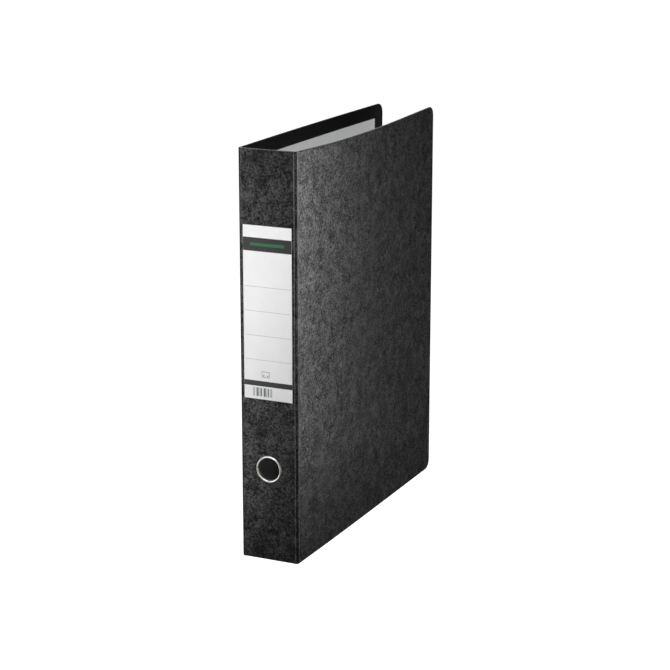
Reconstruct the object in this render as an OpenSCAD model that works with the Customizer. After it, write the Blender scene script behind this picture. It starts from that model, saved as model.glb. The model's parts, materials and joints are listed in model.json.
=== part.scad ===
// Upright lever arch file for A3 portrait sheets: a hard board case of spine and two covers
// that swing on creased strips, with a two-post lever arch mechanism riveted inside the back cover.
// Case axes: X across the spine, Y from the spine to the fore-edge, Z up.
// Mechanism axes, on the inside of the back cover: x away from the spine, y up, z off the cover.

/* [Case] */
// Height of the covers and the spine
case_h = 450; // [380:10:480]
// Depth from the spine's outer face to the fore-edge
case_d = 368.5; // [360:0.5:400]
// Width over the outsides of the two covers
case_w = 68.5; // [68.5:0.5:80]
// Radius of the fore-edge corners
corner_r = 11; // [6:1:20]

/* [Board and paper] */
// Thickness of the hard board
board_t = 2.3; // [1.8:0.1:2.5]
// Thickness of the covering paper and of the lining
paper_t = 0.3; // [0.2:0.05:0.3]
// Width of the covering turned in at the top and bottom edges
turn_in_end = 16; // [12:1:25]
// Width of the covering turned in at the fore-edge
turn_in_fore = 23; // [12:1:30]

/* [Hinge strips] */
// Width taken by one strip across the spine
strip_across = 3.1; // [2.5:0.1:3.5]
// Depth taken by one strip
strip_deep = 3.5; // [3:0.1:4]

/* [Label and finger hole] */
// Width of the spine label
label_w = 57; // [40:1:60]
// Height of the spine label
label_h = 188.5; // [120:0.5:200]
// Height of the label's lower edge above the foot of the file
label_z = 181; // [140:1:185]
// Thickness of the label
label_t = 0.2; // [0.1:0.05:0.3]
// Height of the finger hole's centre
grip_z = 103.4; // [70:0.1:120]
// Radius of the finger hole inside its ring
grip_r = 12.5; // [11:0.5:14]
// Width of the ring's rolled rim
grip_rim_w = 2.5; // [2:0.1:3]

/* [Mechanism] */
// Distance between the two posts
post_pitch = 80; // [80:1:80]
// Distance from the spine's outer face to the posts
post_y = 78; // [78:1:90]
// Distance from the posts back to the arch wire's own axis
arch_reach = 40; // [38:1:40]
// Radius of the arch wire and of the posts
wire_r = 2; // [1.8:0.1:2]
// Height of the arch wire's axis above the back lining
arch_axis_z = 6.5; // [6:0.1:7]
// Height of the top of the arches, to the middle of the wire
arch_top_z = 49.5; // [49.5:0.5:50]
// Height at which the arches meet the posts
arch_tip_z = 32; // [28:1:32]
// Length of the lever from its pivot
lever_len = 43; // [38:1:43]
// Length of the lever's wide thumb tab
tab_len = 15; // [12:1:18]
// Radius of the lever's roller
roller_r = 4; // [3.5:0.1:4]

/* [Hidden] */
$fn = 64;
cut = 1;                                   // how far a cutting solid passes its face
FRONT = 1;
BACK = -1;

// Case
outer_x = case_w / 2;
inner_x = outer_x - board_t - 2 * paper_t;
spine_half = outer_x - strip_across;       // the spine runs from crease to crease
spine_t = board_t + 2 * paper_t;
cover_y = strip_deep + 0.05;               // where each cover starts
strip_t = 0.6;

// Finger hole
grip_barrel_t = 0.5;
grip_hole_r = grip_r + grip_barrel_t + 0.1;
grip_rim_r = grip_rim_w / 2;               // the rolled rim is a half round
washer_t = 0.6;
washer_r = 16;
flare_t = 0.5;
flare_r = 14.6;

// Rivets
rivet_r = 2;
rivet_hole_r = 2.1;
rivet_head_t = 0.9;
rivet_head_r = 4;
rivet_back_r = 5;

// Mechanism places
arch_x = post_y - arch_reach;
half_pitch = post_pitch / 2;
plate_t = 1;
plate_low_x = arch_x - 11;
plate_high_x = post_y + 12;
plate_half_y = 72;
plate_corner_r = 5;
rivet_x = [plate_low_x + 7, plate_high_x - 7];
rivet_y = plate_half_y - 8;
post_stub_r = 1.5;
post_flange_r = 3.4;
post_flange_t = 1;
tip_chamfer = 0.7;
tip_gap = 0.3;

// Arch wire: bend radii, and the crank that the roller presses on
bend_lap = 0.1;
bend_step = 0.01;
foot_bend_r = 5;
hinge_bend_r = 12;
post_bend_r = 16;
crank_r = 12;
crank_half_y = 14.5;
crank_bend_r = 3.5;
crank_z = 3.5;
crank_drop = asin((arch_axis_z - crank_z) / crank_r);
lug_t = 1.5;
lug_r = 4;
lug_y = [24, 31];                          // the near face of each lug
lug_hole_r = wire_r + 0.05;

// Lever: its pivot stands above and behind the roller, which rests over the crank
roller_gap = 0.5;
roller_x = arch_x + crank_r * cos(crank_drop) - 1.1;
roller_z = crank_z + wire_r + roller_r + roller_gap;
roller_arm = 8.6;
roller_drop = 42.5;
pivot_y = -roller_arm * cos(roller_drop);
pivot_z = roller_z + roller_arm * sin(roller_drop);
roller_len = 8;
cheek_in = 4.5;                            // from the roller's middle to a cheek's inner face
cheek_t = 1.2;
cheek_out = cheek_in + cheek_t;
pivot_eye_r = 4.5;
roller_eye_r = 3.4;
web_top = 4;
web_start = 10;
arm_end = lever_len - tab_len;
arm_end_low = 0.5;
tab_half_w = 8;
tab_ridge_r = 0.7;
tab_ridges = 3;
bracket_gap = 0.3;
bracket_half = 4;
stud_r = 1.5;
stud_head_r = 2.8;
stud_head_t = 0.9;
running = 0.05;                            // radial clearance of a pin in its hole
axle_r = 1.5;

// Compressor
bar_z = plate_t + post_flange_t + 0.5;
bar_t = 1.2;
bar_half_y = 52;
bar_low_x = post_y - 10;
bar_high_x = post_y + 8;
bar_slot_r = wire_r + 0.3;
bar_slot_len = 4;
bar_lip_h = 5;
bar_lip_half = 18;
bar_bead_r = 0.9;
clip_r = 0.8;
clip_x = post_y + wire_r + 0.3 + clip_r;
clip_half_y = 47;
clip_hole_r = 1;

// Torsion spring round the arch wire's axis
spring_r = 0.5;
spring_coil_r = 3.4;
spring_turns = 4;
spring_start_y = 22.5;
spring_pitch = 1.15;
spring_steps = 18;                         // rings to a turn
spring_sides = 8;
spring_leg_z = -3.9;                       // of the leg under the crank, from the wire's axis
spring_plate_leg = 9;

// The origin is the middle of the foot of the whole file, rivet heads and rim included
mid_x = -rivet_head_t / 2;
mid_y = (case_d - grip_rim_r) / 2;

NICKEL = [0.74, 0.73, 0.70];
MARBLED = [0.20, 0.20, 0.20];
GREY_LINING = [0.76, 0.77, 0.78];
GREYBOARD = [0.50, 0.47, 0.43];

// Placing

module file_frame() {
    translate([-mid_x, -mid_y, 0])
        children();
}

// Turns a shape so that its x, y and z become y, z and x
module turned() {
    rotate(120, [1, 1, 1])
        children();
}

// An outline drawn in (y, z), made into a plate from x0 to x1
module plate_x(x0, x1) {
    translate([x0, 0, 0])
        turned()
            linear_extrude(x1 - x0)
                children();
}

// The front cover's side as drawn, or its mirror image for the back cover
module on_side(side) {
    file_frame()
        mirror([side == BACK ? 1 : 0, 0, 0])
            children();
}

// Mechanism axes: x away from the spine, y up from mid height, z off the back lining
module mechanism() {
    file_frame()
        translate([-inner_x, 0, case_h / 2])
            turned()
                children();
}

module along_y(y0, y1, r) {
    translate([0, y0, 0])
        rotate([-90, 0, 0])
            cylinder(h = y1 - y0, r = r);
}

module along_x(x0, x1, r) {
    translate([x0, 0, 0])
        rotate([0, 90, 0])
            cylinder(h = x1 - x0, r = r);
}

module both_ways_y() {
    children();
    mirror([0, 1, 0])
        children();
}

// Case

// A cover's outline in (y, z), with rounded corners at the fore-edge only
module cover_outline(y0, inset, r) {
    y1 = case_d - inset;
    z0 = inset;
    z1 = case_h - inset;
    translate([y0, z0])
        square([y1 - r - y0, z1 - z0]);
    translate([y1 - 2 * r, z0 + r])
        square([2 * r, z1 - z0 - 2 * r]);
    for (z = [z0 + r, z1 - r])
        translate([y1 - r, z])
            circle(r);
}

module lining_outline() {
    translate([cover_y, turn_in_end])
        square([case_d - turn_in_fore - cover_y, case_h - 2 * turn_in_end]);
}

// The four rivet holes, as seen from the side
module rivet_hole_outline() {
    for (y = rivet_x, z = [-rivet_y, rivet_y])
        translate([y, case_h / 2 + z])
            circle(rivet_hole_r);
}

module cover_board(side) {
    color(GREYBOARD)
        on_side(side)
            plate_x(inner_x + paper_t, outer_x - paper_t)
                difference() {
                    cover_outline(cover_y, paper_t, corner_r - paper_t);
                    if (side == BACK)
                        rivet_hole_outline();
                }
}

module cover_covering(side) {
    color(MARBLED)
        on_side(side)
            difference() {
                plate_x(inner_x, outer_x)
                    cover_outline(cover_y, 0, corner_r);
                plate_x(inner_x + paper_t, outer_x - paper_t)
                    cover_outline(cover_y - cut, paper_t, corner_r - paper_t);
                translate([inner_x - cut, cover_y - cut, turn_in_end])
                    cube([
                        cut + 2 * paper_t,
                        case_d - turn_in_fore - cover_y + cut,
                        case_h - 2 * turn_in_end
                    ]);
                if (side == BACK)
                    plate_x(inner_x - cut, outer_x + cut)
                        rivet_hole_outline();
            }
}

module cover_lining(side) {
    color(GREY_LINING)
        on_side(side)
            plate_x(inner_x, inner_x + paper_t)
                difference() {
                    lining_outline();
                    if (side == BACK)
                        rivet_hole_outline();
                }
}

module hinge_strip(side) {
    color(MARBLED)
        on_side(side)
            linear_extrude(case_h)
                polygon([
                    [spine_half + 0.05, 0],
                    [outer_x, strip_deep],
                    [outer_x - strip_t, strip_deep],
                    [spine_half + 0.05, strip_t]
                ]);
}

// A solid of revolution about the finger hole's axis, its profile drawn as (radius, depth inwards)
module about_grip() {
    file_frame()
        translate([0, 0, grip_z])
            rotate([-90, 0, 0])
                children();
}

module grip_cut(r) {
    translate([0, -cut, grip_z])
        rotate([-90, 0, 0])
            cylinder(h = spine_t + 2 * cut, r = r);
}

module spine_slab(y0, y1, z0, z1) {
    translate([-spine_half, y0, z0])
        cube([2 * spine_half, y1 - y0, z1 - z0]);
}

module spine_board() {
    color(GREYBOARD)
        file_frame()
            difference() {
                spine_slab(paper_t, paper_t + board_t, paper_t, case_h - paper_t);
                grip_cut(grip_hole_r);
            }
}

module spine_covering() {
    color(MARBLED)
        file_frame()
            difference() {
                spine_slab(0, spine_t, 0, case_h);
                translate([-outer_x, paper_t, paper_t])
                    cube([2 * outer_x, board_t, case_h - 2 * paper_t]);
                translate([-outer_x, paper_t + board_t / 2, turn_in_end])
                    cube([2 * outer_x, board_t + cut, case_h - 2 * turn_in_end]);
                grip_cut(grip_hole_r);
            }
}

module spine_lining() {
    color(GREY_LINING)
        file_frame()
            difference() {
                spine_slab(paper_t + board_t, spine_t, turn_in_end, case_h - turn_in_end);
                grip_cut(grip_hole_r);
            }
}

module spine_label() {
    color("white")
        file_frame()
            translate([-label_w / 2, -label_t, label_z])
                cube([label_w, label_t, label_h]);
}

// Half-round rolled rim outside, barrel through the board, flare over the washer
module grip_ring() {
    flare_z = spine_t + washer_t;
    color(NICKEL)
        about_grip()
            rotate_extrude() {
                intersection() {
                    translate([grip_r + grip_rim_r, 0])
                        circle(grip_rim_r);
                    translate([grip_r, -grip_rim_w])
                        square([grip_rim_w, grip_rim_w]);
                }
                translate([grip_r, 0])
                    square([grip_barrel_t, flare_z]);
                translate([grip_r, flare_z])
                    square([flare_r - grip_r, flare_t]);
            }
}

module grip_ring_washer() {
    color(NICKEL)
        about_grip()
            translate([0, 0, spine_t])
                difference() {
                    cylinder(h = washer_t, r = washer_r);
                    translate([0, 0, -cut])
                        cylinder(h = washer_t + 2 * cut, r = grip_hole_r);
                }
}

// Mechanism

module rounded_plate(x0, x1, half_y, r) {
    translate([x0 + r, -half_y])
        square([x1 - x0 - 2 * r, 2 * half_y]);
    translate([x0, r - half_y])
        square([x1 - x0, 2 * half_y - 2 * r]);
    for (x = [x0 + r, x1 - r], y = [r - half_y, half_y - r])
        translate([x, y])
            circle(r);
}

// An ear bent up from the plate, drawn in (across, z) about the hole's centre at height z0
module ear_outline(half_w, z0) {
    translate([-half_w, plate_t / 2 - z0])
        square([2 * half_w, z0 - plate_t / 2]);
    circle(half_w);
}

module wire_lug(y0) {
    translate([arch_x, y0, arch_axis_z])
        mirror([0, 1, 0])
            rotate([90, 0, 0])
                linear_extrude(lug_t)
                    difference() {
                        ear_outline(lug_r, arch_axis_z);
                        circle(lug_hole_r);
                    }
}

module lever_bracket(x0) {
    translate([0, pivot_y, pivot_z])
        plate_x(x0, x0 + cheek_t)
            difference() {
                ear_outline(bracket_half, pivot_z);
                circle(stud_r + 0.02);
            }
}

module base_plate() {
    color(NICKEL)
        mechanism() {
            difference() {
                linear_extrude(plate_t)
                    rounded_plate(plate_low_x, plate_high_x, plate_half_y, plate_corner_r);
                for (x = rivet_x, y = [-rivet_y, rivet_y])
                    translate([x, y, -cut])
                        cylinder(h = plate_t + 2 * cut, r = rivet_hole_r);
                for (y = [-half_pitch, half_pitch])
                    translate([post_y, y, -cut])
                        cylinder(h = plate_t + 2 * cut, r = post_stub_r + 0.02);
            }
            both_ways_y()
                for (y = lug_y)
                    wire_lug(y);
            lever_bracket(roller_x + cheek_out + bracket_gap);
            lever_bracket(roller_x - cheek_out - bracket_gap - cheek_t);
            translate([post_y - 13, 0, plate_t])
                along_y(-half_pitch - 12, half_pitch + 12, bar_bead_r);
        }
}

module plate_rivets() {
    color(NICKEL)
        mechanism()
            for (x = rivet_x, y = [-rivet_y, rivet_y])
                translate([x, y, 0]) {
                    translate([0, 0, -spine_t])
                        cylinder(h = spine_t + plate_t, r = rivet_r);
                    translate([0, 0, plate_t])
                        cylinder(h = rivet_head_t, r1 = rivet_head_r, r2 = rivet_head_r * 0.7);
                    translate([0, 0, -spine_t - rivet_head_t])
                        cylinder(h = rivet_head_t, r1 = rivet_back_r * 0.8, r2 = rivet_back_r);
                }
}

module post(way) {
    top_z = arch_tip_z - tip_gap;
    color(NICKEL)
        mechanism()
            translate([post_y, way * half_pitch, 0]) {
                translate([0, 0, 0.05])
                    cylinder(h = plate_t, r = post_stub_r);
                translate([0, 0, plate_t])
                    cylinder(h = post_flange_t, r = post_flange_r);
                translate([0, 0, plate_t + post_flange_t])
                    cylinder(h = top_z - tip_chamfer - plate_t - post_flange_t, r = wire_r);
                translate([0, 0, top_z - tip_chamfer])
                    cylinder(h = tip_chamfer, r1 = wire_r, r2 = wire_r - tip_chamfer);
            }
}

// A quarter bend of wire in the xy plane, from the +x side of its centre to the +y side.
// It is a hair thinner than the straights and runs a little way into each.
module bend(bend_r) {
    lap = 180 / PI * bend_lap / bend_r;
    rotate(-lap)
        rotate_extrude(angle = 90 + 2 * lap)
            translate([bend_r, 0])
                circle(wire_r - bend_step);
}

// One ring in its own plane: x from the arch axis, y (drawn) is the height above it
module ring_wire() {
    top = arch_top_z - arch_axis_z;
    tip = arch_tip_z - arch_axis_z;
    along_y(foot_bend_r, top - hinge_bend_r, wire_r);
    translate([hinge_bend_r, top - hinge_bend_r, 0])
        rotate(90)
            bend(hinge_bend_r);
    translate([0, top, 0])
        along_x(hinge_bend_r, arch_reach - post_bend_r, wire_r);
    translate([arch_reach - post_bend_r, top - post_bend_r, 0])
        bend(post_bend_r);
    translate([arch_reach, 0, 0])
        along_y(tip + tip_chamfer, top - post_bend_r, wire_r);
    translate([arch_reach, tip, 0])
        rotate([-90, 0, 0])
            cylinder(h = tip_chamfer, r1 = wire_r - tip_chamfer, r2 = wire_r);
}

// Half of the crank, in its own plane: x away from the axis
module crank_wire() {
    translate([crank_bend_r, crank_half_y + crank_bend_r, 0])
        rotate(180)
            bend(crank_bend_r);
    translate([0, crank_half_y, 0])
        along_x(crank_bend_r, crank_r - crank_bend_r, wire_r);
    translate([crank_r - crank_bend_r, crank_half_y - crank_bend_r, 0])
        bend(crank_bend_r);
}

module arch_wire() {
    color(NICKEL)
        mechanism()
            translate([arch_x, 0, arch_axis_z]) {
                both_ways_y() {
                    translate([0, half_pitch, 0])
                        rotate([90, 0, 0])
                            ring_wire();
                    translate([0, half_pitch - foot_bend_r, foot_bend_r])
                        turned()
                            rotate(-90)
                                bend(foot_bend_r);
                    along_y(crank_half_y + crank_bend_r, half_pitch - foot_bend_r, wire_r);
                    rotate([0, crank_drop, 0])
                        crank_wire();
                }
                rotate([0, crank_drop, 0])
                    translate([crank_r, 0, 0])
                        along_y(crank_bend_r - crank_half_y, crank_half_y - crank_bend_r, wire_r);
            }
}

// The lever in (along, above) about its pivot
module cheek_outline() {
    roller_at = [roller_arm * cos(roller_drop), -roller_arm * sin(roller_drop)];
    difference() {
        union() {
            circle(pivot_eye_r);
            translate(roller_at)
                circle(roller_eye_r);
            polygon([
                [0, web_top],
                [arm_end, web_top],
                [arm_end, arm_end_low],
                roller_at + [roller_eye_r * 0.6, -roller_eye_r * 0.8],
                roller_at + [-roller_eye_r * 0.8, -roller_eye_r * 0.6],
                [-pivot_eye_r * 0.8, -pivot_eye_r * 0.6]
            ]);
        }
        circle(stud_r + running);
        translate(roller_at)
            circle(axle_r);
    }
}

module lever() {
    color(NICKEL)
        mechanism()
            translate([roller_x, pivot_y, pivot_z]) {
                plate_x(-cheek_out, -cheek_in)
                    cheek_outline();
                plate_x(cheek_in, cheek_out)
                    cheek_outline();
                translate([-cheek_in, web_start, web_top - cheek_t])
                    cube([2 * cheek_in, arm_end - web_start, cheek_t]);
                translate([0, 0, web_top - cheek_t]) {
                    linear_extrude(cheek_t) {
                        translate([-tab_half_w, arm_end])
                            square([2 * tab_half_w, tab_len - tab_half_w]);
                        translate([0, lever_len - tab_half_w])
                            circle(tab_half_w);
                    }
                }
                for (i = [1:tab_ridges])
                    translate([0, lever_len - 2 - 2.5 * i, web_top])
                        along_x(-tab_half_w / 2, tab_half_w / 2, tab_ridge_r);
            }
}

module lever_pivot_studs() {
    color(NICKEL)
        mechanism()
            translate([roller_x, pivot_y, pivot_z])
                for (way = [0, 1])
                    mirror([way, 0, 0]) {
                        along_x(cheek_in - 0.2, cheek_out + bracket_gap + cheek_t, stud_r);
                        along_x(
                            cheek_out + bracket_gap + cheek_t,
                            cheek_out + bracket_gap + cheek_t + stud_head_t,
                            stud_head_r
                        );
                    }
}

module lever_roller() {
    color(NICKEL)
        mechanism()
            translate([roller_x, 0, roller_z])
                difference() {
                    along_x(-roller_len / 2, roller_len / 2, roller_r);
                    along_x(-roller_len, roller_len, axle_r + running);
                }
}

module roller_axle() {
    color(NICKEL)
        mechanism()
            translate([roller_x, 0, roller_z])
                along_x(-cheek_out, cheek_out, axle_r - 0.01);
}

module compressor_bar() {
    color(NICKEL)
        mechanism() {
            translate([0, 0, bar_z])
                linear_extrude(bar_t)
                    difference() {
                        rounded_plate(bar_low_x, bar_high_x, bar_half_y, plate_corner_r);
                        for (y = [-half_pitch, half_pitch]) {
                            translate([post_y, y])
                                circle(bar_slot_r);
                            translate([post_y - bar_slot_len, y])
                                circle(bar_slot_r);
                            translate([post_y - bar_slot_len, y - bar_slot_r])
                                square([bar_slot_len, 2 * bar_slot_r]);
                        }
                        for (y = [-clip_half_y, clip_half_y])
                            translate([clip_x, y])
                                circle(clip_hole_r);
                    }
            translate([bar_high_x - bar_t, -bar_lip_half, bar_z])
                cube([bar_t, 2 * bar_lip_half, bar_lip_h]);
            translate([bar_low_x + 3, 0, bar_z + bar_t])
                along_y(-half_pitch + 8, half_pitch - 8, bar_bead_r);
        }
}

// A straight wire behind both posts, its ends hooked down into the bar
module compressor_spring() {
    clip_z = bar_z + bar_t + clip_r + 0.02;
    color(NICKEL)
        mechanism() {
            translate([clip_x, 0, clip_z])
                along_y(-clip_half_y, clip_half_y, clip_r);
            for (y = [-clip_half_y, clip_half_y])
                translate([clip_x, y, bar_z + 0.1])
                    cylinder(h = clip_z - bar_z - 0.1, r = clip_r);
        }
}

// Torsion spring

function unit(v) = v / norm(v);

function heading(path, i) =
    unit(path[min(i + 1, len(path) - 1)] - path[max(i - 1, 0)]);

// A direction square to the path at each point, carried along without twisting
function carried(path, i, side) =
    i == len(path)
        ? []
        : let (ahead = heading(path, i), square_to = unit(side - ahead * (side * ahead)))
            concat([square_to], carried(path, i + 1, square_to));

module swept(path, r, sides) {
    across = carried(path, 0, [0, 1, 0.1]);
    rings = [
        for (i = [0:len(path) - 1])
            let (up = cross(heading(path, i), across[i]))
                for (k = [0:sides - 1])
                    path[i] + r * (cos(360 * k / sides) * across[i] + sin(360 * k / sides) * up)
    ];
    last = (len(path) - 1) * sides;
    polyhedron(
        rings,
        concat(
            [[for (k = [0:sides - 1]) k]],
            [[for (k = [sides - 1:-1:0]) last + k]],
            [
                for (i = [0:len(path) - 2], k = [0:sides - 1])
                    let (a = i * sides + k, b = i * sides + (k + 1) % sides)
                        [a, a + sides, b + sides, b]
            ]
        )
    );
}

// From under the crank's arm, out past the lug, round the wire and down to the plate
function spring_path() =
    let (
        end_y = spring_start_y - spring_turns * spring_pitch,
        coil = [
            for (i = [0:spring_turns * spring_steps])
                let (turn = i / spring_steps, a = -90 + 360 * turn)
                    [
                        spring_coil_r * cos(a),
                        spring_start_y - spring_pitch * turn,
                        spring_coil_r * sin(a)
                    ]
        ]
    )
        concat(
            [
                [-spring_plate_leg, spring_start_y, -spring_coil_r - 1.2],
                [-3, spring_start_y, -spring_coil_r - 0.2]
            ],
            coil,
            [
                [2.5, end_y, -spring_coil_r - 0.1],
                [4.6, end_y - 0.3, spring_leg_z],
                [5.6, end_y - 1.5, spring_leg_z - 0.2],
                [6, crank_half_y - 1, spring_leg_z - 0.4]
            ]
        );

module arch_spring() {
    color(NICKEL)
        mechanism()
            translate([arch_x, 0, arch_axis_z])
                swept(spring_path(), spring_r, spring_sides);
}

spine_board();
spine_covering();
spine_lining();
spine_label();
grip_ring();
grip_ring_washer();
hinge_strip(FRONT);  // front_hinge_strip
hinge_strip(BACK);  // back_hinge_strip
cover_board(FRONT);  // front_board
cover_covering(FRONT);  // front_covering
cover_lining(FRONT);  // front_lining
cover_board(BACK);  // back_board
cover_covering(BACK);  // back_covering
cover_lining(BACK);  // back_lining
base_plate();
plate_rivets();
post(1);  // upper_post
post(-1);  // lower_post
arch_wire();
arch_spring();
lever();
lever_pivot_studs();
lever_roller();
roller_axle();
compressor_bar();
compressor_spring();
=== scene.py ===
"""The looks of an upright lever arch file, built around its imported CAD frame.

X runs across the spine with the front cover at +X, Y from the spine to the fore-edge, and Z up.
Board and paper pieces are closed shells between two skins, the label is a rounded slab with its
print laid on it, and the torsion spring is a swept tube.
The pressed and turned metal keeps its CAD shape and has its edges rounded by modifiers.
"""

import json
import math

import bmesh
import bpy
import numpy as np
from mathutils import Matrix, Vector


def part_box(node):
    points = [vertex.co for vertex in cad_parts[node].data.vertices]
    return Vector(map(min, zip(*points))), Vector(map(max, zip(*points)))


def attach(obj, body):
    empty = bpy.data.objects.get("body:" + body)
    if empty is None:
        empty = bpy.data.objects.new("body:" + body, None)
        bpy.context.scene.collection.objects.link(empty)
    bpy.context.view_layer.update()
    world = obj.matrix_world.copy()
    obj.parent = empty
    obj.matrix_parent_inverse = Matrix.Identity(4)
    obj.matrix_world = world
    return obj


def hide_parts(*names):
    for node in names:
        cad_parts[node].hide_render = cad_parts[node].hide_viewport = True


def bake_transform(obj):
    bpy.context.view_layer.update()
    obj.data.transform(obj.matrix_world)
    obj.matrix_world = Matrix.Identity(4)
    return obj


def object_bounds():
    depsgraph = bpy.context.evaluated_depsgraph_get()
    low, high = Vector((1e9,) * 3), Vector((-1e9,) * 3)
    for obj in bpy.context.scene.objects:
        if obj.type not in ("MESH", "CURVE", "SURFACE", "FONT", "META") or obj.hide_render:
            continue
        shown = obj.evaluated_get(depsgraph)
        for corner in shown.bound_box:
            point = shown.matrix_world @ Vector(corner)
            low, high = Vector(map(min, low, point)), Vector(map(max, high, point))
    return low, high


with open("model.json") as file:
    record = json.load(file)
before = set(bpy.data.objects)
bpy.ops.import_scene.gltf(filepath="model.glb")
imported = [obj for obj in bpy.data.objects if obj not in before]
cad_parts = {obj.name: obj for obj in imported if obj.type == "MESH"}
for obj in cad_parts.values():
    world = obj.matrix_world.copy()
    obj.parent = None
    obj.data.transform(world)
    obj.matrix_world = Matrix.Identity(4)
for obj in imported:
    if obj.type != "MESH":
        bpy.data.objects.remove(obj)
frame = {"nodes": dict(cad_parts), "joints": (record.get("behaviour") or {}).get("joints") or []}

CAD_BOX = [list(corner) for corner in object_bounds()]
MM = 0.001

# Board and paper
PAPER = 0.3 * MM
EDGE_R = 1.0 * MM  # rounding of an edge that the covering wraps
CORNER_R = 11 * MM  # fore-edge corners of the covers
LINING_OVER = 0.15 * MM  # how far a lining stands over the turned-in covering
TUCKED = 4 * MM  # how far the turned-in covering runs on beneath a lining
CORE_INSET = PAPER + 0.05 * MM  # how far a board stays inside its covering's outer face
FACE_INSET = 3 * MM  # where a face's even grid gives way to the rings round its edge
WRAP_FROM = 1.6 * MM  # the last even ring of the outer face, before its edge is rounded
WRAP_TO = 2.5 * MM  # the first even ring of the inner face
CREASE_WEAR_AND_HIGHLIGHT = 1.2 * MM  # how far from a crease the covering is lightened, by wear and a painted highlight
SHARP_DEG = 40  # faces that meet at more than this are shown with a sharp edge
EDGE_STEPS = 4
CORNER_STEPS = 7
COVER_ROWS = 42
COVER_COLUMNS = 36

# How far the covers bow outwards, and how much nearer the spine than the middle the front one does
FRONT_SAG_TOP = 10.4 * MM
FRONT_SAG_FOOT = 0.9 * MM
FRONT_SAG_LEAN = 0.56
BACK_SAG_TOP = 2.1 * MM
BACK_SAG_FROM = 0.32  # height above which the back cover, stiffened by the mechanism, bows at all

# Hinge strips
STRIP_T = 0.5 * MM
STRIP_LIFT = 0.05 * MM
STRIP_LAP_COVER = 0.7 * MM
STRIP_LAP_SPINE = {1: 0.5 * MM, -1: 1.9 * MM}
GROOVE_DEEP = 0.4 * MM
GROOVE_WIDE = 0.3 * MM
STRIP_BULGE = 0.35 * MM
STRIP_STEPS = 34
STRIP_ROWS = 60
WEAR_HIGHLIGHT_BESIDE = 0.25 * MM  # where the line of wear and painted highlight runs, from the bottom of its groove
WEAR_HIGHLIGHT_WIDE = 0.5 * MM
WEAR_HIGHLIGHT_WEIGHTS = (1, 1.3)  # for the groove at the spine and the one at the cover
STRIP_END_ROUND = 0.22 * MM
STRIP_END_DEEP = 0.4 * MM
STRIP_END_WORN = 0.8 * MM

# Finger hole
FINGER_HOLE_R = 13.1 * MM
HOLE_PATCH = 20 * MM  # half of the square patch in which the spine's grid turns into rings
HOLE_RINGS = (0.35, 0.7, 1.0)

FRONT = 1
BACK = -1


# Procedural finishes


class Finish:
    """One procedural material: a shader and the nodes that feed it."""

    def __init__(self, name, **constants):
        self.material = bpy.data.materials.new(name)
        self.material.use_nodes = True
        self.tree = self.material.node_tree
        self.shader = self.tree.nodes["Principled BSDF"]
        for socket, value in constants.items():
            self.shader.inputs[socket.replace("_", " ")].default_value = value
        coordinates = self.tree.nodes.new("ShaderNodeTexCoord")
        self.place = coordinates.outputs["Object"]

    def add(self, kind, inputs, **settings):
        node = self.tree.nodes.new(kind)
        for name, value in settings.items():
            setattr(node, name, value)
        for socket, value in inputs.items():
            self.feed(node.inputs[socket], value)
        return node

    def feed(self, socket, value):
        if isinstance(value, bpy.types.NodeSocket):
            self.tree.links.new(value, socket)
        else:
            socket.default_value = value

    def set(self, socket, value):
        self.feed(self.shader.inputs[socket], value)

    def attribute(self, name, output="Fac"):
        node = self.add("ShaderNodeAttribute", {}, attribute_name=name)
        return node.outputs[output]

    def stretched(self, x, y, z):
        node = self.add("ShaderNodeMapping", {"Vector": self.place, "Scale": (x, y, z)})
        return node.outputs["Vector"]

    def noise(self, scale, detail, roughness, distortion=0.0, place=None):
        inputs = {
            "Vector": place or self.place,
            "Scale": scale,
            "Detail": detail,
            "Roughness": roughness,
            "Distortion": distortion,
        }
        return self.add("ShaderNodeTexNoise", inputs).outputs[0]

    def ramp(self, factor, stops):
        node = self.add("ShaderNodeValToRGB", {"Fac": factor})
        elements = node.color_ramp.elements
        while len(elements) < len(stops):
            elements.new(0.5)
        for element, (position, colour) in zip(elements, stops):
            element.position = position
            element.color = (*colour, 1) if isinstance(colour, tuple) else (colour,) * 3 + (1,)
        return node.outputs["Color"]

    def spread(self, value, low, high, to_low=0.0, to_high=1.0):
        inputs = {0: value, 1: low, 2: high, 3: to_low, 4: to_high}
        return self.add("ShaderNodeMapRange", inputs).outputs[0]

    def maths(self, operation, a, b):
        return self.add("ShaderNodeMath", {0: a, 1: b}, operation=operation).outputs[0]

    def weighted(self, *pairs):
        """The sum of each value times its weight."""
        total = 0.0
        for value, weight in pairs:
            scaled = self.maths("MULTIPLY", value, weight)
            total = self.maths("ADD", scaled, total)
        return total

    def mix(self, factor, a, b):
        node = self.add("ShaderNodeMix", {0: factor, 6: a, 7: b}, data_type="RGBA")
        return node.outputs[2]

    def bump(self, height, distance, strength):
        inputs = {"Height": height, "Distance": distance, "Strength": strength}
        self.set("Normal", self.add("ShaderNodeBump", inputs).outputs["Normal"])


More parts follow.
